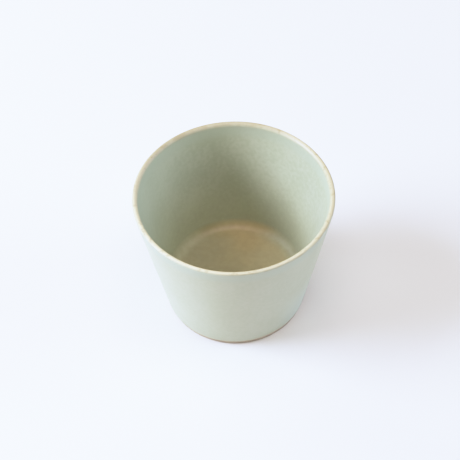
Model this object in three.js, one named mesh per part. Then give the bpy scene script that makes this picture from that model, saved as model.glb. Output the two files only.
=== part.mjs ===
// Soba choko cup: a straight-sided, handleless stoneware cup on a turned foot, glazed inside and out.
// Millimetres, +Z up. The origin is the centre of the foot's resting face, and Z is the axis of turning.
// The cup is a clay body with a coat of glaze on each glazed surface, laid face to face on the clay.
import * as THREE from 'three';

// Finished sizes, over the glaze
const CUP_HEIGHT = 65; // table to the top of the lip
const MOUTH_DIAMETER = 85; // outside of the lip
const LIP_THICKNESS = 2.4; // wall at the lip, which is rounded right over
const LIP_OUTER_ROUND = 0.7; // outside of the lip's round, tighter than the rest of it
const WALL_AT_FLOOR = 3.0; // wall at the height of the inside floor
const FLOOR_THICKNESS = 6.5; // recess under the foot to the inside floor
const WELL_CORNER = 4.8; // round between the inside floor and the wall

// Turned foot, in bare clay
const FOOT_DIAMETER = 60; // outside of the clay at the table
const FOOT_RING_WIDTH = 5; // outside of the foot to the recess
const FOOT_RECESS = 3.5; // hollow under the floor
const FOOT_CHAMFER = 0.5; // broken edges of the resting face
const RECESS_CORNER = 2; // round between the recess and its ceiling
const BARE_BAND = 2; // clay left bare between the chamfer and the glaze

// Glaze
const GLAZE_THICKNESS = 0.4; // on the walls
const LIP_GLAZE_THICKNESS = 0.2; // on the top of the lip, where the glaze ran thin
const WELL_GLAZE_THICKNESS = 0.6; // on the inside floor, where the glaze pooled
const GLAZE_BEAD = 0.8; // height of the rolled lower edge of the outside coat
const LIP_BAND = 0.8; // reach of the lip coat down each side, below the round of the lip

// Facets
const TURN_STEPS = 72; // round the axis
const LIP_TURN = Math.PI * 5 / 6; // even steps of the lip's round, from its widest point inwards
const LIP_STEPS = 5;
const WELL_STEPS = 6;
const RECESS_STEPS = 3;
const BEAD_STEPS = 3;

// Finishes, from the photograph
const bareClay = new THREE.MeshStandardMaterial({ color: 0xb39c86, roughness: 0.9, metalness: 0 });
const celadonGlaze = new THREE.MeshStandardMaterial({ color: 0xc6cfbf, roughness: 0.5, metalness: 0 });
const innerCeladonGlaze = new THREE.MeshStandardMaterial({ color: 0xb9c4b1, roughness: 0.5, metalness: 0 });
const thinLipGlaze = new THREE.MeshStandardMaterial({ color: 0xe0d6b8, roughness: 0.45, metalness: 0 });
const ochreWellGlaze = new THREE.MeshStandardMaterial({ color: 0xb7a374, roughness: 0.5, metalness: 0 });

// The cup's section is drawn in a half plane: x is the radius and y the height.
const at = (radius, height) => new THREE.Vector2(radius, height);
const facing = (angle) => at(Math.cos(angle), Math.sin(angle));
const moved = (point, direction, distance) => point.clone().addScaledVector(direction, distance);
const fractions = (steps) => Array.from({ length: steps + 1 }, (_, step) => step / steps);
const mix = THREE.MathUtils.lerp;

// Lean of a wall from the upright, where it starts at its foot and passes beside its top at an offset
function leanOf(foot, top, offset) {
  const run = top.clone().sub(foot);
  return Math.atan2(run.x, run.y) - Math.asin(offset / run.length());
}

// Directions of both walls, from the two rounds of the lip, which meet at its top and run on into the walls
const lipTop = at(MOUTH_DIAMETER / 2 - LIP_OUTER_ROUND, CUP_HEIGHT);
const lipInnerRound = LIP_THICKNESS - LIP_OUTER_ROUND;
const lipOuterCentre = moved(lipTop, facing(-Math.PI / 2), LIP_OUTER_ROUND);
const lipInnerCentre = moved(lipTop, facing(-Math.PI / 2), lipInnerRound);
const footEdge = at(FOOT_DIAMETER / 2, 0);
const outsideLean = leanOf(footEdge, lipOuterCentre, GLAZE_THICKNESS - LIP_OUTER_ROUND);
const outsideUp = facing(Math.PI / 2 - outsideLean);
const outsideFace = facing(-outsideLean);

const floorHeight = FOOT_RECESS + FLOOR_THICKNESS;
const glazeAcross = GLAZE_THICKNESS / Math.cos(outsideLean);
const radiusAtFloor = footEdge.x + floorHeight * Math.tan(outsideLean) + glazeAcross;
const wallFoot = at(radiusAtFloor - WALL_AT_FLOOR, floorHeight);
const insideLean = leanOf(wallFoot, lipInnerCentre, lipInnerRound);
const insideUp = facing(Math.PI / 2 - insideLean);
const insideFacing = Math.PI - insideLean;
const insideFace = facing(insideFacing);

// Centre of the round that meets the floor and the inside wall smoothly
const wellReach = WELL_CORNER * Math.tan(Math.PI / 4 - insideLean / 2);
const wellCentre = at(wallFoot.x - wellReach, floorHeight + WELL_CORNER);

// Glaze surface and the clay straight behind it, at one place on the section
const station = (glaze, face, coat) => ({ glaze, clay: moved(glaze, face, -coat) });

// Outside coat: its rolled edge above the bare band, then the straight wall up to the lip coat
const glazeLine = moved(footEdge, outsideUp, (FOOT_CHAMFER + BARE_BAND) / outsideUp.y);
const beadGlaze = fractions(BEAD_STEPS).map((part) => {
  const turn = part * Math.PI / 2;
  const raised = moved(glazeLine, outsideUp, GLAZE_BEAD * (1 - Math.cos(turn)));
  return moved(raised, outsideFace, GLAZE_THICKNESS * Math.sin(turn));
});
const lipOutside = moved(lipOuterCentre, outsideFace, LIP_OUTER_ROUND);
const lipBandOutside = moved(lipOutside, outsideUp, -LIP_BAND);
const outsideEnd = station(lipBandOutside, outsideFace, GLAZE_THICKNESS);

// Lip coat: over the widest and the highest point of the lip's round, thinnest on the top
const lipTurns = [
  -outsideLean,
  ...fractions(LIP_STEPS).map((part) => part * LIP_TURN),
  insideFacing,
];
const lipRound = lipTurns.map((turn) => {
  const part = (turn + outsideLean) / (insideFacing + outsideLean);
  const coat = mix(GLAZE_THICKNESS, LIP_GLAZE_THICKNESS, Math.sin(part * Math.PI));
  const glaze = turn < Math.PI / 2
    ? moved(lipOuterCentre, facing(turn), LIP_OUTER_ROUND)
    : moved(lipInnerCentre, facing(turn), lipInnerRound);
  return station(glaze, facing(turn), coat);
});
const lipInside = moved(lipInnerCentre, insideFace, lipInnerRound);
const lipBandInside = moved(lipInside, insideUp, -LIP_BAND);
const insideStart = station(lipBandInside, insideFace, GLAZE_THICKNESS);

// Well coat: round the corner from the wall to the floor, thickest on the floor
const wellRound = fractions(WELL_STEPS).map((part) => {
  const face = facing(mix(insideFacing, Math.PI / 2, part));
  const coat = mix(GLAZE_THICKNESS, WELL_GLAZE_THICKNESS, part);
  return station(moved(wellCentre, face, -WELL_CORNER), face, coat);
});
const floorCentre = station(at(0, floorHeight), facing(Math.PI / 2), WELL_GLAZE_THICKNESS);

// Underside of the clay, from the axis out over the recess and the resting face to the glaze line
const recessRadius = FOOT_DIAMETER / 2 - FOOT_RING_WIDTH;
const recessRound = fractions(RECESS_STEPS).map((part) => {
  const face = facing(mix(Math.PI / 2, 0, part));
  return moved(at(recessRadius - RECESS_CORNER, FOOT_RECESS - RECESS_CORNER), face, RECESS_CORNER);
});
const underside = [
  at(0, FOOT_RECESS),
  ...recessRound,
  at(recessRadius, FOOT_CHAMFER),
  at(recessRadius + FOOT_CHAMFER, 0),
  at(FOOT_DIAMETER / 2 - FOOT_CHAMFER, 0),
  moved(footEdge, outsideUp, FOOT_CHAMFER / outsideUp.y),
];

// Turns a closed section about Z
function turned(section) {
  return new THREE.LatheGeometry(section, TURN_STEPS).rotateX(Math.PI / 2);
}

// Section of a coat: back along the clay, forward along the glaze, and closed unless it ends on the axis
function coatSection(glaze, clay) {
  const section = [...clay.toReversed(), ...glaze];
  return section[0].x > 0 ? [...section, section[0]] : section;
}

const coatOf = (stations) => coatSection(
  stations.map((place) => place.glaze),
  stations.map((place) => place.clay),
);

const lipStations = [outsideEnd, ...lipRound, insideStart];
const insideStations = [insideStart, wellRound[0]];
const wellStations = [...wellRound, floorCentre];
const claySection = [
  ...underside,
  glazeLine,
  ...[...lipStations, ...wellStations].map((place) => place.clay),
];

const cup = new THREE.Group();

function addPiece(name, section, material) {
  const piece = new THREE.Mesh(turned(section), material);
  piece.name = name;
  cup.add(piece);
}

addPiece('clay_body', claySection, bareClay);
addPiece(
  'outside_glaze',
  coatSection([...beadGlaze.slice(1), outsideEnd.glaze], [glazeLine, outsideEnd.clay]),
  celadonGlaze,
);
addPiece('lip_glaze', coatOf(lipStations), thinLipGlaze);
addPiece('inside_glaze', coatOf(insideStations), innerCeladonGlaze);
addPiece('well_glaze', coatOf(wellStations), ochreWellGlaze);

export default cup;
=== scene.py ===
import math
from functools import cached_property
from typing import NamedTuple

import bmesh
import bpy
from mathutils import Matrix, Vector, noise


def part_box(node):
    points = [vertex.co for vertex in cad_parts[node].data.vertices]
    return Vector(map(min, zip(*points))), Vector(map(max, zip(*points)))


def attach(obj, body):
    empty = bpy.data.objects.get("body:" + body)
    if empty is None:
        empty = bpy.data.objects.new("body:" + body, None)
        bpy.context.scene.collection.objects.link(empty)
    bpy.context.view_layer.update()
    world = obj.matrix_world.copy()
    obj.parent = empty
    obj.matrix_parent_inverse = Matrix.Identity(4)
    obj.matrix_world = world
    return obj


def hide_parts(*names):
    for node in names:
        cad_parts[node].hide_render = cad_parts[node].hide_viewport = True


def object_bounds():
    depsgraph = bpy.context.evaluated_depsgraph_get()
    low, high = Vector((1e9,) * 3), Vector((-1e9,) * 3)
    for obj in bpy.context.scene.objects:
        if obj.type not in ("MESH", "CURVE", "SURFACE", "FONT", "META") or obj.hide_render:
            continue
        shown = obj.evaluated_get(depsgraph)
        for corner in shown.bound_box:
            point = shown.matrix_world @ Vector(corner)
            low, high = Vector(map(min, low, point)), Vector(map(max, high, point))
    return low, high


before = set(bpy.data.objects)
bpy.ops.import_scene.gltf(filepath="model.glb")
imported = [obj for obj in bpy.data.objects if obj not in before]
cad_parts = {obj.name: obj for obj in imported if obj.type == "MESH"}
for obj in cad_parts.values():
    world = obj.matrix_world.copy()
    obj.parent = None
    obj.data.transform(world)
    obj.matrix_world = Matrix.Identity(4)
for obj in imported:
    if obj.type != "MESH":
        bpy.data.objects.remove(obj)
cad_low, cad_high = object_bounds()

# Clay body
# One piece of brown stoneware, thrown on a wheel, turned at the foot while leather hard, then fired.
# It stays bare on the foot ring, in the recess under the floor and on a narrow band above the table.
MM = 0.001
CUP_HEIGHT = cad_high.z
MOUTH_RADIUS = cad_high.x
LIP_THICKNESS = 2.4 * MM
LIP_OUTER_ROUND = 0.7 * MM
WALL_AT_FLOOR = 3.0 * MM
WELL_CORNER = 4.8 * MM
FOOT_RADIUS = 30 * MM
FOOT_RING_WIDTH = 5 * MM
FOOT_RECESS = 3.5 * MM
FOOT_ROUND = 0.6 * MM
RECESS_CORNER = 2 * MM
TOOL_MARK_DEPTH = 0.05 * MM
TOOL_MARK_PITCH = 2.6 * MM
GLAZE_THICKNESS = 0.4 * MM
LIP_GLAZE_THICKNESS = 0.2 * MM
WELL_GLAZE_THICKNESS = 0.6 * MM
FLOOR_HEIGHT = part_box("well_glaze")[0].z + WELL_GLAZE_THICKNESS
GLAZE_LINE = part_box("outside_glaze")[0].z
LIP_BAND = 0.8 * MM
OUT_OF_ROUND = 0.08 * MM
LIP_WAVER = 0.12 * MM
LIP_WAVES = 1.4
LIP_WAVER_POWER = 4
TURN_STEPS = 240
LIP_STEPS = 9
WELL_STEPS = 14
RECESS_STEPS = 60
RECESS_CORNER_STEPS = 10
FOOT_ROUND_STEPS = 6
MERGE_DISTANCE = 0.001 * MM
SHARP_ANGLE = math.radians(40)


class Station(NamedTuple):
    """A place on the cup's section: the glaze surface there, and the clay straight behind it."""

    glaze: Vector
    clay: Vector


def at(radius, height):
    return Vector((radius, 0, height))


def facing(angle):
    return at(math.cos(angle), math.sin(angle))


def spaced(start, end, steps):
    return [start + (end - start) * step / steps for step in range(steps + 1)]


def arc(centre, radius, start, end, steps):
    return [centre + facing(turn) * radius for turn in spaced(start, end, steps)]


def lean_of(foot, top, offset):
    """Lean of a wall from the upright, where it starts at its foot and passes beside its top at an offset."""
    run = top - foot
    return math.atan2(run.x, run.z) - math.asin(offset / run.length)


def coated(glaze, face, coat):
    return Station(glaze, glaze - face * coat)


lip_inner_round = LIP_THICKNESS - LIP_OUTER_ROUND
lip_outer_centre = at(MOUTH_RADIUS - LIP_OUTER_ROUND, CUP_HEIGHT - LIP_OUTER_ROUND)
lip_inner_centre = at(MOUTH_RADIUS - LIP_OUTER_ROUND, CUP_HEIGHT - lip_inner_round)
foot_edge = at(FOOT_RADIUS, 0)
outside_lean = lean_of(foot_edge, lip_outer_centre, GLAZE_THICKNESS - LIP_OUTER_ROUND)
outside_up = facing(math.pi / 2 - outside_lean)
outside_face = facing(-outside_lean)
radius_at_floor = FOOT_RADIUS + FLOOR_HEIGHT * math.tan(outside_lean) + GLAZE_THICKNESS / outside_face.x
wall_foot = at(radius_at_floor - WALL_AT_FLOOR, FLOOR_HEIGHT)
inside_lean = lean_of(wall_foot, lip_inner_centre, lip_inner_round)
inside_up = facing(math.pi / 2 - inside_lean)
inside_facing = math.pi - inside_lean
inside_face = facing(inside_facing)
well_reach = WELL_CORNER * math.tan(math.pi / 4 - inside_lean / 2)
well_centre = at(wall_foot.x - well_reach, FLOOR_HEIGHT + WELL_CORNER)


def lip_stations(steps):
    """Over the two rounds of the lip, from the outside in: the coat is thinnest on the top."""
    outer_turns = spaced(-outside_lean, math.pi / 2, steps)
    inner_turns = spaced(math.pi / 2, inside_facing, steps)[1:]
    places = [(turn, lip_outer_centre, LIP_OUTER_ROUND) for turn in outer_turns]
    places += [(turn, lip_inner_centre, lip_inner_round) for turn in inner_turns]
    made = []
    for turn, centre, radius in places:
        share = (turn + outside_lean) / (inside_facing + outside_lean)
        thinning = (GLAZE_THICKNESS - LIP_GLAZE_THICKNESS) * math.sin(share * math.pi)
        made.append(coated(centre + facing(turn) * radius, facing(turn), GLAZE_THICKNESS - thinning))
    return made


def well_stations(steps):
    """Round the corner from the inside wall down to the floor, where the coat is thickest."""
    made = []
    for share in spaced(0, 1, steps):
        face = facing(inside_facing + (math.pi / 2 - inside_facing) * share)
        coat = GLAZE_THICKNESS + (WELL_GLAZE_THICKNESS - GLAZE_THICKNESS) * share
        made.append(coated(well_centre - face * WELL_CORNER, face, coat))
    return made


lip_round = lip_stations(LIP_STEPS)
well_round = well_stations(WELL_STEPS)
outside_end = coated(lip_round[0].glaze - outside_up * LIP_BAND, outside_face, GLAZE_THICKNESS)
inside_start = coated(lip_round[-1].glaze - inside_up * LIP_BAND, inside_face, GLAZE_THICKNESS)
floor_centre = coated(at(0, FLOOR_HEIGHT), facing(math.pi / 2), WELL_GLAZE_THICKNESS)
glaze_start = foot_edge + outside_up * (GLAZE_LINE / outside_up.z)


def around(point):
    """Direction from the axis to a point, level."""
    angle = math.atan2(point.y, point.x)
    return Vector((math.cos(angle), math.sin(angle), 0))


def thrown(point):
    """Where a point of a true cup lies on this one, which strays a little from the round towards the lip."""
    outward = around(point)
    height = point.z / CUP_HEIGHT
    width = math.hypot(point.x, point.y) / MOUTH_RADIUS
    oval = OUT_OF_ROUND * (outward.x ** 2 - outward.y ** 2) * height * width
    lift = LIP_WAVER * height ** LIP_WAVER_POWER * noise.noise(outward * LIP_WAVES)
    return point + outward * oval + Vector((0, 0, lift))


def turned(name, section, closed, settled=thrown):
    """Spins a section about Z into a piece, and keeps each point's height on the section as an attribute."""
    bm = bmesh.new()
    verts = [bm.verts.new(point) for point in section]
    edges = [bm.edges.new(pair) for pair in zip(verts, verts[1:])]
    if closed:
        edges.append(bm.edges.new((verts[-1], verts[0])))
    bmesh.ops.spin(
        bm,
        geom=verts + edges,
        cent=(0, 0, 0),
        axis=(0, 0, 1),
        angle=2 * math.pi,
        steps=TURN_STEPS,
        use_merge=True,
    )
    bmesh.ops.remove_doubles(bm, verts=bm.verts, dist=MERGE_DISTANCE)
    bmesh.ops.recalc_face_normals(bm, faces=bm.faces)
    section_height = bm.verts.layers.float.new("section_height")
    for vert in bm.verts:
        vert[section_height] = vert.co.z
        vert.co = settled(vert.co)
    mesh = bpy.data.meshes.new(name)
    bm.to_mesh(mesh)
    bm.free()
    mesh.shade_smooth()
    mesh.set_sharp_from_angle(angle=SHARP_ANGLE)
    piece = bpy.data.objects.new(name, mesh)
    bpy.context.scene.collection.objects.link(piece)
    return piece


def tool_mark(radius):
    """Depth of the shallow rings that the turning tool left across the recess."""
    return TOOL_MARK_DEPTH * math.sin(2 * math.pi * radius / TOOL_MARK_PITCH) ** 2


recess_radius = FOOT_RADIUS - FOOT_RING_WIDTH
ceiling_radius = recess_radius - RECESS_CORNER
foot_round_reach = FOOT_ROUND * math.tan(math.pi / 4 - outside_lean / 2)
recess_corner_centre = at(ceiling_radius, FOOT_RECESS - RECESS_CORNER)
foot_inner_centre = at(recess_radius + FOOT_ROUND, FOOT_ROUND)
foot_outer_centre = at(FOOT_RADIUS - foot_round_reach, FOOT_ROUND)
clay_section = [
    *[at(radius, FOOT_RECESS - tool_mark(radius)) for radius in spaced(0, ceiling_radius, RECESS_STEPS)[:-1]],
    *arc(recess_corner_centre, RECESS_CORNER, math.pi / 2, 0, RECESS_CORNER_STEPS),
    *arc(foot_inner_centre, FOOT_ROUND, math.pi, 1.5 * math.pi, FOOT_ROUND_STEPS),
    *arc(foot_outer_centre, FOOT_ROUND, -math.pi / 2, -outside_lean, FOOT_ROUND_STEPS),
    glaze_start,
    *[place.clay for place in [outside_end, *lip_round, inside_start, *well_round, floor_centre]],
]
clay_body = turned("stoneware_body", clay_section, closed=False)


class Value:
    """A socket of a material, so that maths on it reads as an expression and adds its own Math nodes."""

    def __init__(self, finish, socket):
        self.finish = finish
        self.socket = socket

    def maths(self, operation, first, second):
        sockets = {"Value": first, "Value_001": second}
        return self.finish.node("ShaderNodeMath", {"operation": operation}, sockets)["Value"]

    def __add__(self, other):
        return self.maths("ADD", self, other)

    def __radd__(self, other):
        return self.maths("ADD", other, self)

    def __sub__(self, other):
        return self.maths("SUBTRACT", self, other)

    def __rsub__(self, other):
        return self.maths("SUBTRACT", other, self)

    def __mul__(self, other):
        return self.maths("MULTIPLY", self, other)

    def __rmul__(self, other):
        return self.maths("MULTIPLY", other, self)


class Side(NamedTuple):
    """A side of the cup, and the distances towards it where a change of colour starts and is full.

    Its bearing is in degrees: 0 is the right, 90 the back, 180 the left and 270 the front.
    """

    bearing: float
    start: float
    full: float


class Finish:
    """A procedural material on Object coordinates and on the height along the cup's section."""

    def __init__(self, name):
        self.material = bpy.data.materials.new(name)
        self.material.use_nodes = True
        self.tree = self.material.node_tree
        self.tree.nodes.clear()

    @cached_property
    def position(self):
        return self.node("ShaderNodeTexCoord")["Object"]

    @cached_property
    def height(self):
        return self.node("ShaderNodeAttribute", {"attribute_name": "section_height"})["Fac"]

    @cached_property
    def radius(self):
        """Distance from the cup's axis."""
        sockets = {"Vector": self.position, "Vector_001": (1, 1, 0)}
        level = self.node("ShaderNodeVectorMath", {"operation": "MULTIPLY"}, sockets)["Vector"]
        return self.node("ShaderNodeVectorMath", {"operation": "LENGTH"}, {"Vector": level})["Value"]

    def node(self, kind, settings=(), sockets=()):
        """Adds a node, sets its settings, then links or sets its sockets, and returns its outputs."""
        made = self.tree.nodes.new(kind)
        for name, value in dict(settings).items():
            setattr(made, name, value)
        inputs = {socket.identifier: socket for socket in made.inputs}
        for name, value in dict(sockets).items():
            if isinstance(value, Value):
                self.tree.links.new(value.socket, inputs[name])
            else:
                inputs[name].default_value = value
        return {socket.identifier: Value(self, socket) for socket in made.outputs}

    def rise(self, value, low, high):
        """0 below low, 1 above high, and smooth between them."""
        sockets = {"Value": value, "From Min": low, "From Max": high}
        return self.node("ShaderNodeMapRange", {"interpolation_type": "SMOOTHSTEP"}, sockets)["Result"]

    def towards(self, side):
        """Rise across the cup towards one side of it."""
        turn = math.radians(side.bearing)
        sockets = {"Vector": self.position, "Vector_001": (math.cos(turn), math.sin(turn), 0)}
        reach = self.node("ShaderNodeVectorMath", {"operation": "DOT_PRODUCT"}, sockets)["Value"]
        return self.rise(reach, side.start, side.full)

    def patch(self, middle, core, reach):
        """1 within the core of a patch about a point, falling smoothly to 0 at its reach."""
        sockets = {"Vector": self.position, "Vector_001": middle}
        away = self.node("ShaderNodeVectorMath", {"operation": "DISTANCE"}, sockets)["Value"]
        return 1 - self.rise(away, core, reach)

    def blend(self, share, first, second):
        sockets = {"Factor_Float": share, "A_Color": first, "B_Color": second}
        return self.node("ShaderNodeMix", {"data_type": "RGBA"}, sockets)["Result_Color"]

    def grain(self, size, detail=2.0):
        """Noise whose patches are about that size across."""
        sockets = {"Vector": self.position, "Scale": 1 / size, "Detail": detail}
        return self.node("ShaderNodeTexNoise", {}, sockets)["Fac"]

    def surface(self, colour, roughness, relief, depth):
        """Ends the material in a Principled shader, with a bump of that relief and depth."""
        sockets = {"Height": relief, "Distance": depth, "Strength": 1.0}
        normal = self.node("ShaderNodeBump", {}, sockets)["Normal"]
        sockets = {"Base Color": colour, "Roughness": roughness, "Normal": normal}
        shader = self.node("ShaderNodeBsdfPrincipled", {}, sockets)["BSDF"]
        self.node("ShaderNodeOutputMaterial", {}, {"Surface": shader})
        return self.material


CLAY_DARK = (0.32, 0.285, 0.23, 1)
CLAY_BROWN = (0.43, 0.395, 0.325, 1)
CLAY_BLUSH = (0.47, 0.41, 0.32, 1)
CLAY_WORN = (0.50, 0.47, 0.40, 1)
SOFT_PATCHES = (0.3, 0.7)
CLAY_PATCH_SIZE = 5 * MM
SAND_SIZE = 0.4 * MM
SAND_DEPTH = 0.04 * MM
SAND_SHARE = 0.4
SAND_ROUGHNESS = 0.15
CLAY_ROUGHNESS = 0.8
BLUSH_REACH = 1.2 * MM
BLUSH_SHARE = 0.6
WORN_REACH = 0.25 * MM
WORN_SHARE = 0.7


def bare_stoneware():
    """Sandy brown clay, blushed beside the glaze and rubbed pale where it stands on the table."""
    finish = Finish("bare stoneware")
    mottle = finish.rise(finish.grain(CLAY_PATCH_SIZE, detail=3.0), *SOFT_PATCHES)
    sand = finish.grain(SAND_SIZE)
    colour = finish.blend(mottle * (1 - SAND_SHARE) + sand * SAND_SHARE, CLAY_DARK, CLAY_BROWN)
    blush = finish.rise(finish.height, GLAZE_LINE - BLUSH_REACH, GLAZE_LINE)
    colour = finish.blend(blush * BLUSH_SHARE, colour, CLAY_BLUSH)
    worn = 1 - finish.rise(finish.height, 0, WORN_REACH)
    colour = finish.blend(worn * mottle * WORN_SHARE, colour, CLAY_WORN)
    return finish.surface(colour, CLAY_ROUGHNESS + sand * SAND_ROUGHNESS, sand, SAND_DEPTH)


clay_body.data.materials.append(bare_stoneware())
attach(clay_body, "root")
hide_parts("clay_body")

# Outside coat
# Satin-matt celadon glaze that the cup was dipped in, wiped back from the foot before firing.
# It ends there in a rolled edge that wavers along the clay. Low on the right the wall is painted paler and
# bluer, as painted bounce light from the table.
GLAZE_BEAD = 0.8 * MM
EDGE_TILT = 0.8 * MM
EDGE_WAVER = 0.25 * MM
EDGE_WAVES = 1.5
EDGE_REACH = 4 * MM
BEAD_STEPS = 6
WALL_STEPS = 40
CELADON = (0.422, 0.479, 0.401, 1)
CELADON_GREY = (0.391, 0.455, 0.371, 1)
CELADON_BLUE = (0.374, 0.464, 0.405, 1)
# Painted bounce light: paler, bluer celadon painted low on the right of the wall.
CELADON_PAINTED_BOUNCE_LIGHT = (0.451, 0.549, 0.505, 1)
GLAZE_EDGE = (0.52, 0.51, 0.39, 1)
SHARP_PATCHES = (0.35, 0.65)
DRIFT_SIZE = 13 * MM
DRIFT_SHARE = 0.4
FLECK_SIZE = 1.6 * MM
GATHER_START = CUP_HEIGHT - 8 * MM
GATHER_FULL = CUP_HEIGHT - 4 * MM
GATHER_SHARE = 0.7
GATHER_RAGGED_SIZE = 5 * MM
GATHER_RAGGED = 1.0 * MM
PAINTED_BOUNCE_LIGHT_SIDE = Side(-15, 22 * MM, 33 * MM)
PAINTED_BOUNCE_LIGHT_LOW = 5 * MM
PAINTED_BOUNCE_LIGHT_HIGH = 34 * MM
EDGE_PALE_REACH = 1.6 * MM
EDGE_PALE_SHARE = 0.6
SKIN_SIZE = 0.8 * MM
SKIN_DEPTH = 0.008 * MM
SKIN_ROUGHNESS = 0.1
GLAZE_ROUGHNESS = 0.42

bead = []
for turn in spaced(0, math.pi / 2, BEAD_STEPS):
    clay = glaze_start + outside_up * GLAZE_BEAD * (1 - math.cos(turn))
    bead.append(Station(clay + outside_face * GLAZE_THICKNESS * math.sin(turn), clay))
wall = [
    coated(glaze, outside_face, GLAZE_THICKNESS)
    for glaze in spaced(bead[-1].glaze, outside_end.glaze, WALL_STEPS)[1:]
]


def glaze_of(stations):
    return [place.glaze for place in stations]


def clay_of(stations):
    return [place.clay for place in stations]


def wiped(point):
    """Lets the lower edge of the coat tilt and waver along the clay, and leaves the rest of it in place."""
    outward = around(point)
    hold = max(0, 1 - (point.z - GLAZE_LINE) / EDGE_REACH)
    along = outward * outside_up.x + Vector((0, 0, outside_up.z))
    stray = EDGE_TILT * outward.x + EDGE_WAVER * noise.noise(outward * EDGE_WAVES)
    return thrown(point + along * stray * hold)


outside_section = clay_of([*bead, *wall])[::-1] + glaze_of([*bead[1:], *wall])
outside_coat = turned("outside_celadon_coat", outside_section, closed=True, settled=wiped)


def strayed(value, grain, reach):
    """A distance that strays by up to half the reach either way, so that a line on it runs ragged."""
    return value + (grain - 0.5) * reach


def clouded(finish, body, cloud):
    """Colour of a glaze that is softly clouded and finely flecked."""
    drift = finish.grain(DRIFT_SIZE)
    fleck = finish.grain(FLECK_SIZE, detail=4.0)
    tone = finish.rise(drift * DRIFT_SHARE + fleck * (1 - DRIFT_SHARE), *SHARP_PATCHES)
    return finish.blend(tone, cloud, body)


def wall_glaze(finish, body, cloud, gathered):
    """Colour of the wall glaze: clouded, and of the last colour where it gathered below the lip."""
    ragged = strayed(finish.height, finish.grain(GATHER_RAGGED_SIZE), GATHER_RAGGED)
    below_lip = finish.rise(ragged, GATHER_START, GATHER_FULL)
    return finish.blend(below_lip * GATHER_SHARE, clouded(finish, body, cloud), gathered)


def celadon(finish):
    return wall_glaze(finish, CELADON, CELADON_GREY, CELADON_BLUE)


def glazed(finish, colour, roughness=GLAZE_ROUGHNESS):
    """Satin surface of a glaze, with the faint dimples of its skin."""
    skin = finish.grain(SKIN_SIZE, detail=3.0)
    return finish.surface(colour, roughness + skin * SKIN_ROUGHNESS, skin, SKIN_DEPTH)


def celadon_coat():
    finish = Finish("celadon glaze")
    # Painted bounce light: the low right of the wall is painted paler and bluer.
    low = 1 - finish.rise(finish.height, PAINTED_BOUNCE_LIGHT_LOW, PAINTED_BOUNCE_LIGHT_HIGH)
    colour = finish.blend(finish.towards(PAINTED_BOUNCE_LIGHT_SIDE) * low, celadon(finish), CELADON_PAINTED_BOUNCE_LIGHT)
    edge = 1 - finish.rise(finish.height, GLAZE_LINE, GLAZE_LINE + EDGE_PALE_REACH)
    return glazed(finish, finish.blend(edge * EDGE_PALE_SHARE, colour, GLAZE_EDGE))


outside_coat.data.materials.append(celadon_coat())
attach(outside_coat, "root")
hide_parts("outside_glaze")

# Lip coat
# The same glaze where it ran off the rounded lip and fired thin, so that the clay warms it to cream.
# It is spotted with tan, browner along the back, the right and the outer edge. At the front left it is
# painted pale cream, a painted highlight of the window.
CREAM = (0.515, 0.490, 0.350, 1)
# Painted highlight: pale cream for the front left of the lip, where the window's highlight falls.
CREAM_PAINTED_HIGHLIGHT = (0.690, 0.660, 0.475, 1)
TAN = (0.332, 0.312, 0.202, 1)
INNER_CELADON = (0.398, 0.463, 0.377, 1)
INNER_GREY = (0.341, 0.409, 0.317, 1)
INNER_BLUE = (0.364, 0.446, 0.371, 1)
BLUE_SIDE = Side(180, 10 * MM, 40 * MM)
BLUE_SHARE = 0.5
LIP_PATCH_SIZE = 4 * MM
LIP_RAGGED = 0.8 * MM
LIP_EDGE_WIDTH = 0.45 * MM
THIN_INSIDE_START = CUP_HEIGHT - 1.9 * MM
THIN_INSIDE_FULL = CUP_HEIGHT + 0.1 * MM
THIN_OUTSIDE_START = CUP_HEIGHT - 0.9 * MM
THIN_OUTSIDE_FULL = CUP_HEIGHT + 0.3 * MM
SPOT_SIZE = 2 * MM
SPOTS = (0.52, 0.68)
SPOT_SHARE = 0.5
TAN_BACK = Side(105, 20 * MM, 38 * MM)
TAN_BACK_SHARE = 0.4
TAN_RIGHT = Side(0, 25 * MM, 40 * MM)
TAN_RIGHT_SHARE = 0.5
TAN_FRONT = Side(300, 30 * MM, 42 * MM)
TAN_FRONT_SHARE = 0.35
TAN_EDGE_SHARE = 0.55
# Side of the lip where the painted highlight lies.
PAINTED_HIGHLIGHT_SIDE = Side(220, 24 * MM, 40 * MM)
LIP_ROUGHNESS = 0.40

lip_places = [outside_end, *lip_round, inside_start]
lip_coat = turned("thin_lip_coat", clay_of(lip_places)[::-1] + glaze_of(lip_places), closed=True)


def inner_celadon(finish):
    """Colour of the inside glaze near the lip, bluer on the left."""
    colour = wall_glaze(finish, INNER_CELADON, INNER_GREY, INNER_BLUE)
    return finish.blend(finish.towards(BLUE_SIDE) * BLUE_SHARE, colour, INNER_BLUE)


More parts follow.
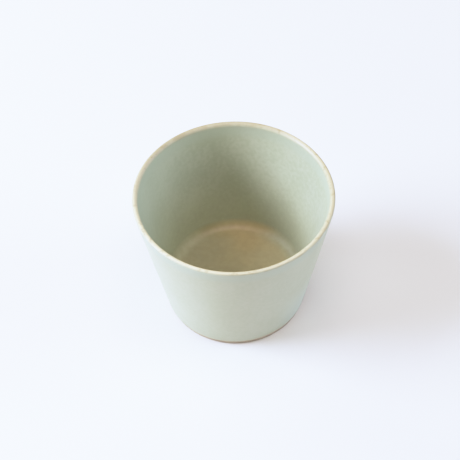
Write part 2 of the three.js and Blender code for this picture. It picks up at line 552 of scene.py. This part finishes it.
def thin_lip():
    finish = Finish("thin lip glaze")
    patches = finish.grain(LIP_PATCH_SIZE)
    spots = finish.rise(finish.grain(SPOT_SIZE), *SPOTS)
    brown = finish.towards(TAN_BACK) * (TAN_BACK_SHARE + patches)
    brown = brown + finish.towards(TAN_RIGHT) * TAN_RIGHT_SHARE + spots * SPOT_SHARE
    edge_brown = TAN_EDGE_SHARE + brown * (1 - TAN_EDGE_SHARE) + finish.towards(TAN_FRONT) * TAN_FRONT_SHARE
    # Painted highlight: the lip's cream turns pale towards the front left.
    cream_and_painted_highlight = finish.blend(finish.towards(PAINTED_HIGHLIGHT_SIDE), CREAM, CREAM_PAINTED_HIGHLIGHT)
    ragged = strayed(finish.height, patches, LIP_RAGGED)
    thin_inside = finish.rise(ragged, THIN_INSIDE_START, THIN_INSIDE_FULL)
    thin_outside = finish.rise(ragged, THIN_OUTSIDE_START, THIN_OUTSIDE_FULL)
    inner = finish.blend(thin_inside, inner_celadon(finish), finish.blend(brown, cream_and_painted_highlight, TAN))
    outer = finish.blend(thin_outside, celadon(finish), finish.blend(edge_brown, cream_and_painted_highlight, TAN))
    outside = finish.rise(finish.radius, lip_outer_centre.x, lip_outer_centre.x + LIP_EDGE_WIDTH)
    return glazed(finish, finish.blend(outside, inner, outer), LIP_ROUGHNESS)


lip_coat.data.materials.append(thin_lip())
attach(lip_coat, "root")
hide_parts("lip_glaze")

# Inside coat
# Celadon poured in and out again, so it lies in an even coat from the lip down to the round of the well.
# Lower down it is painted towards olive, partly the glaze firing that way and partly painted shade and bounce
# light of the deep inside.
# Olive colours for the deep inside: partly the glaze's own colour, partly painted shade and bounce light.
OLIVE_AND_PAINTED_SHADE = (0.376, 0.439, 0.310, 1)
OLIVE_GREY_AND_PAINTED_SHADE = (0.344, 0.401, 0.284, 1)
OLIVE_AND_SHADE_TOP = CUP_HEIGHT - 12 * MM
OLIVE_AND_SHADE_RAGGED_SIZE = 9 * MM
OLIVE_AND_SHADE_RAGGED = 8 * MM

inside_places = [
    coated(glaze, inside_face, GLAZE_THICKNESS)
    for glaze in spaced(inside_start.glaze, well_round[0].glaze, WALL_STEPS)
]
inside_section = clay_of(inside_places)[::-1] + glaze_of(inside_places)
inside_coat = turned("inside_celadon_coat", inside_section, closed=True)


def celadon_olive_and_shaded_in_depth(finish):
    """Inside glaze that turns to olive with depth: partly its own colour, partly painted shade and bounce
    light of the deep inside.
    """
    ragged = strayed(finish.height, finish.grain(OLIVE_AND_SHADE_RAGGED_SIZE), OLIVE_AND_SHADE_RAGGED)
    # Painted shade in part: the inside turns olive and a little darker towards the floor.
    shallow = finish.rise(ragged, FLOOR_HEIGHT, OLIVE_AND_SHADE_TOP)
    return finish.blend(shallow, clouded(finish, OLIVE_AND_PAINTED_SHADE, OLIVE_GREY_AND_PAINTED_SHADE), inner_celadon(finish))


def inner_celadon_coat():
    finish = Finish("inner celadon glaze")
    return glazed(finish, celadon_olive_and_shaded_in_depth(finish))


inside_coat.data.materials.append(inner_celadon_coat())
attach(inside_coat, "root")
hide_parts("inside_glaze")

# Well coat
# What ran down the inside pooled on the floor and fired to ochre, golden to the right and olive to the left.
# It thins over the round corner to a pale ring, which turns from tawny to amber along the back.
OCHRE = (0.262, 0.287, 0.176, 1)
GOLD = (0.342, 0.343, 0.195, 1)
TAWNY = (0.228, 0.238, 0.114, 1)
AMBER = (0.371, 0.332, 0.166, 1)
WELL_OLIVE = (0.265, 0.312, 0.208, 1)
UMBER = (0.191, 0.198, 0.114, 1)
PALE_RING = (0.303, 0.353, 0.233, 1)
FLOOR_STEPS = 20
POOL_PATCH_SIZE = 7 * MM
POOL_FLECK_SIZE = 2.2 * MM
POOL_FLECK_SHARE = 0.18
GOLDEN_SIDE = Side(11.5, -12 * MM, 12 * MM)
GOLDEN_SHARE = 0.6
OLIVE_SIDE = Side(180, 0, 26 * MM)
OLIVE_SHARE = 0.6
AMBER_MIDDLE = (6 * MM, 19 * MM, FLOOR_HEIGHT)
AMBER_CORE = 2 * MM
AMBER_REACH = 10 * MM
AMBER_SHARE = 0.5
RING_START = 23 * MM
RING_FULL = 27.5 * MM
RING_RAGGED = 1.5 * MM
STAIN_SIDE = Side(90, 19 * MM, 27 * MM)
STAIN_START = 16 * MM
STAIN_FULL = 24 * MM
STAIN_SHARE = 0.8
CORNER_START = FLOOR_HEIGHT + 1.0 * MM

floor_places = [
    coated(glaze, facing(math.pi / 2), WELL_GLAZE_THICKNESS)
    for glaze in spaced(well_round[-1].glaze, floor_centre.glaze, FLOOR_STEPS)[1:]
]
well_places = [*well_round, *floor_places]
well_coat = turned("ochre_well_coat", clay_of(well_places)[::-1] + glaze_of(well_places), closed=False)


def ochre_well():
    finish = Finish("ochre well glaze")
    mottle = finish.grain(POOL_PATCH_SIZE, detail=3.0)
    golden = finish.towards(GOLDEN_SIDE)
    gold_share = finish.rise(mottle, *SOFT_PATCHES) * (1 - GOLDEN_SHARE) + golden * GOLDEN_SHARE
    colour = finish.blend(gold_share, OCHRE, GOLD)
    colour = finish.blend(finish.towards(OLIVE_SIDE) * OLIVE_SHARE, colour, WELL_OLIVE)
    colour = finish.blend(finish.patch(AMBER_MIDDLE, AMBER_CORE, AMBER_REACH) * AMBER_SHARE, colour, AMBER)
    ring = finish.rise(strayed(finish.radius, mottle, RING_RAGGED), RING_START, RING_FULL)
    colour = finish.blend(ring, colour, PALE_RING)
    stain = finish.rise(finish.radius, STAIN_START, STAIN_FULL) * finish.towards(STAIN_SIDE)
    colour = finish.blend(stain * STAIN_SHARE, colour, finish.blend(golden, TAWNY, AMBER))
    fleck = finish.rise(finish.grain(POOL_FLECK_SIZE, detail=4.0), *SHARP_PATCHES)
    colour = finish.blend(fleck * POOL_FLECK_SHARE, colour, UMBER)
    wall_share = finish.rise(finish.height, CORNER_START, FLOOR_HEIGHT + WELL_CORNER)
    return glazed(finish, finish.blend(wall_share, colour, celadon_olive_and_shaded_in_depth(finish)))


well_coat.data.materials.append(ochre_well())
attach(well_coat, "root")
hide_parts("well_glaze")

# Table
# A plain white top under the cup, matt and without a pattern.
# It fades out far from the cup, so that it runs into the white room with no edge.
TABLE_SIZE = 2.4
FADE_START = 0.4
FADE_END = 1.1
TABLE_WHITE = (0.717, 0.735, 0.732, 1)
TABLE_ROUGHNESS = 0.8

bm = bmesh.new()
bmesh.ops.create_grid(bm, x_segments=1, y_segments=1, size=TABLE_SIZE / 2)
table_mesh = bpy.data.meshes.new("table")
bm.to_mesh(table_mesh)
bm.free()
table = bpy.data.objects.new("table", table_mesh)
bpy.context.scene.collection.objects.link(table)


def white_table():
    finish = Finish("white table")
    sockets = {"Base Color": TABLE_WHITE, "Roughness": TABLE_ROUGHNESS}
    top = finish.node("ShaderNodeBsdfPrincipled", {}, sockets)["BSDF"]
    clear = finish.node("ShaderNodeBsdfTransparent")["BSDF"]
    fade = finish.rise(finish.radius, FADE_START, FADE_END)
    sockets = {"Fac": fade, "Shader": top, "Shader_001": clear}
    shader = finish.node("ShaderNodeMixShader", {}, sockets)["Shader"]
    finish.node("ShaderNodeOutputMaterial", {}, {"Surface": shader})
    return finish.material


table.data.materials.append(white_table())

# Light
# A wide window on the left gives most of the light, and pale walls and a ceiling send some of it back.
# The room behind is plain white, and gives no light of its own.
ROOM_WHITE = (1.0, 0.87, 0.93, 1)
ROOM_BRIGHTNESS = 1.8

cup_middle = Vector((0, 0, CUP_HEIGHT / 2))


def soft_light(name, azimuth, elevation, distance, width, height, power, colour, roll=0):
    """A plain rectangle of light, turned to face the cup; azimuth runs from the right towards the back."""
    light = bpy.data.lights.new(name, "AREA")
    light.shape = "RECTANGLE"
    light.size = width
    light.size_y = height
    light.energy = power
    light.color = colour
    lamp = bpy.data.objects.new(name, light)
    bpy.context.scene.collection.objects.link(lamp)
    turn = math.radians(azimuth)
    rise = math.radians(elevation)
    away = Vector((math.cos(turn) * math.cos(rise), math.sin(turn) * math.cos(rise), math.sin(rise)))
    lamp.location = cup_middle + away * distance
    upright = away.to_track_quat("Z", "Y").to_matrix()
    lamp.rotation_euler = (upright @ Matrix.Rotation(math.radians(roll), 3, "Z")).to_euler()
    lamp.visible_camera = False


soft_light(
    "window",
    azimuth=183,
    elevation=35,
    distance=1.2,
    width=0.66,
    height=0.50,
    power=27.5,
    colour=(1, 0.891, 0.990),
    roll=-45,
)
soft_light(
    "back wall",
    azimuth=128,
    elevation=14,
    distance=1.2,
    width=0.97,
    height=0.5,
    power=10.4,
    colour=(1, 0.857, 0.675),
)
soft_light(
    "front wall",
    azimuth=228,
    elevation=18,
    distance=1.2,
    width=0.97,
    height=0.5,
    power=4.0,
    colour=(1, 0.925, 0.609),
)
soft_light(
    "far wall",
    azimuth=-1,
    elevation=25,
    distance=1.0,
    width=0.59,
    height=0.68,
    power=8.1,
    colour=(0.930, 0.937, 1),
)
soft_light(
    "ceiling",
    azimuth=300,
    elevation=80,
    distance=1.5,
    width=1.0,
    height=1.0,
    power=17.8,
    colour=(1, 0.703, 0.656),
)

world = bpy.data.worlds.new("pale room")
bpy.context.scene.world = world
world.use_nodes = True
background = world.node_tree.nodes["Background"]
background.inputs["Color"].default_value = ROOM_WHITE
background.inputs["Strength"].default_value = ROOM_BRIGHTNESS
world.cycles_visibility.diffuse = False
world.cycles_visibility.glossy = False

# Camera
# Looks down on the cup at the photograph's angle, with the cup a little below the middle of the picture.
# Its highlights roll off softly towards white, on a curve of its own for each colour.
IMAGE_SIDE = 460
FOCAL_PIXELS = 1543.1
VIEW_ELEVATION = math.radians(51.12)
VIEW_ROLL = math.radians(-1.49)
VIEW_DISTANCE = 669.6 * MM
CUP_RIGHT_PIXELS = 4.77
CUP_DOWN_PIXELS = 13.58
BRIGHTEST = 2.5
TONE_STEPS = 10
RED_SHOULDER = 2.52
GREEN_SHOULDER = 3.56
BLUE_SHOULDER = 5.76

camera = bpy.data.cameras.new("camera")
camera.lens = FOCAL_PIXELS * camera.sensor_width / IMAGE_SIDE
camera_object = bpy.data.objects.new("camera", camera)
bpy.context.scene.collection.objects.link(camera_object)
tilt = Matrix.Rotation(math.pi / 2 - VIEW_ELEVATION, 3, "X")
roll = Matrix.Rotation(VIEW_ROLL, 3, "Z")
aim_up = Matrix.Rotation(math.atan2(CUP_DOWN_PIXELS, FOCAL_PIXELS), 3, "X")
aim_left = Matrix.Rotation(math.atan2(CUP_RIGHT_PIXELS, FOCAL_PIXELS), 3, "Y")
camera_object.location = cup_middle + tilt.col[2] * VIEW_DISTANCE
camera_object.rotation_euler = (tilt @ roll @ aim_up @ aim_left).to_euler()
bpy.context.scene.camera = camera_object

view = bpy.context.scene.view_settings
view.view_transform = "Standard"
view.use_curve_mapping = True
view.curve_mapping.white_level = (BRIGHTEST, BRIGHTEST, BRIGHTEST)


def shown(light, shoulder):
    return light / (1 + light ** shoulder) ** (1 / shoulder)


for tone, shoulder in zip(view.curve_mapping.curves, (RED_SHOULDER, GREEN_SHOULDER, BLUE_SHOULDER)):
    for step in range(1, TONE_STEPS):
        tone.points.new(step / TONE_STEPS, shown(BRIGHTEST * step / TONE_STEPS, shoulder))
    tone.points[-1].location.y = shown(BRIGHTEST, shoulder)
view.curve_mapping.update()
